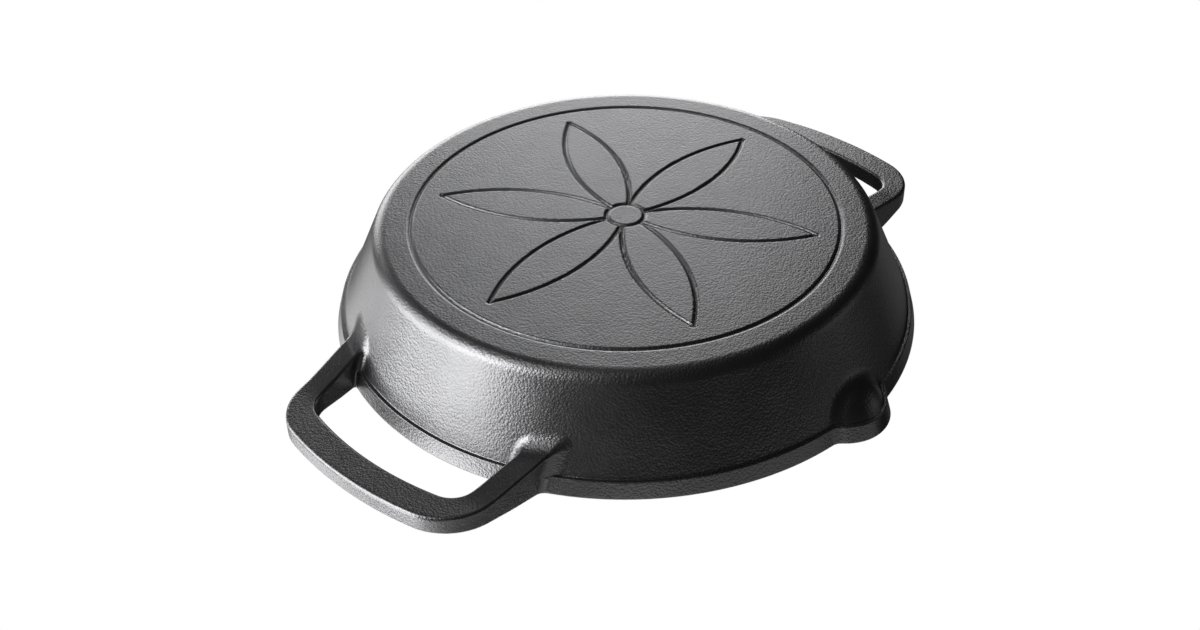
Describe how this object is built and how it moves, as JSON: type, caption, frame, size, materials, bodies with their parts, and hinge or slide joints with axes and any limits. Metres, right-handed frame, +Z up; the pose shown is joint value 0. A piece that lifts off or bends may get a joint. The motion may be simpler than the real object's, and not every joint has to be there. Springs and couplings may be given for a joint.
{
  "type": "two-handled skillet",
  "caption": "Round cast-iron pan with a loop handle on each side, a pouring spout between them on each side, a rim band and a groove ornament under the base.",
  "frame": {"origin": "centre of the base's underside, where the pan stands", "axes": "+Z up, out of the open bowl; X along the line through both handles; Y along the line through both spouts"},
  "size_m": [0.3592, 0.2984, 0.0499],
  "materials": {
    "iron": "seasoned, fine pebbled casting skin"
  },
  "bodies": {
    "root": {"base": "iron", "wall": "iron", "band_left": "iron", "band_right": "iron", "handle_left": "iron", "handle_right": "iron", "spout_front": "iron", "spout_back": "iron"}
  },
  "joints": []
}
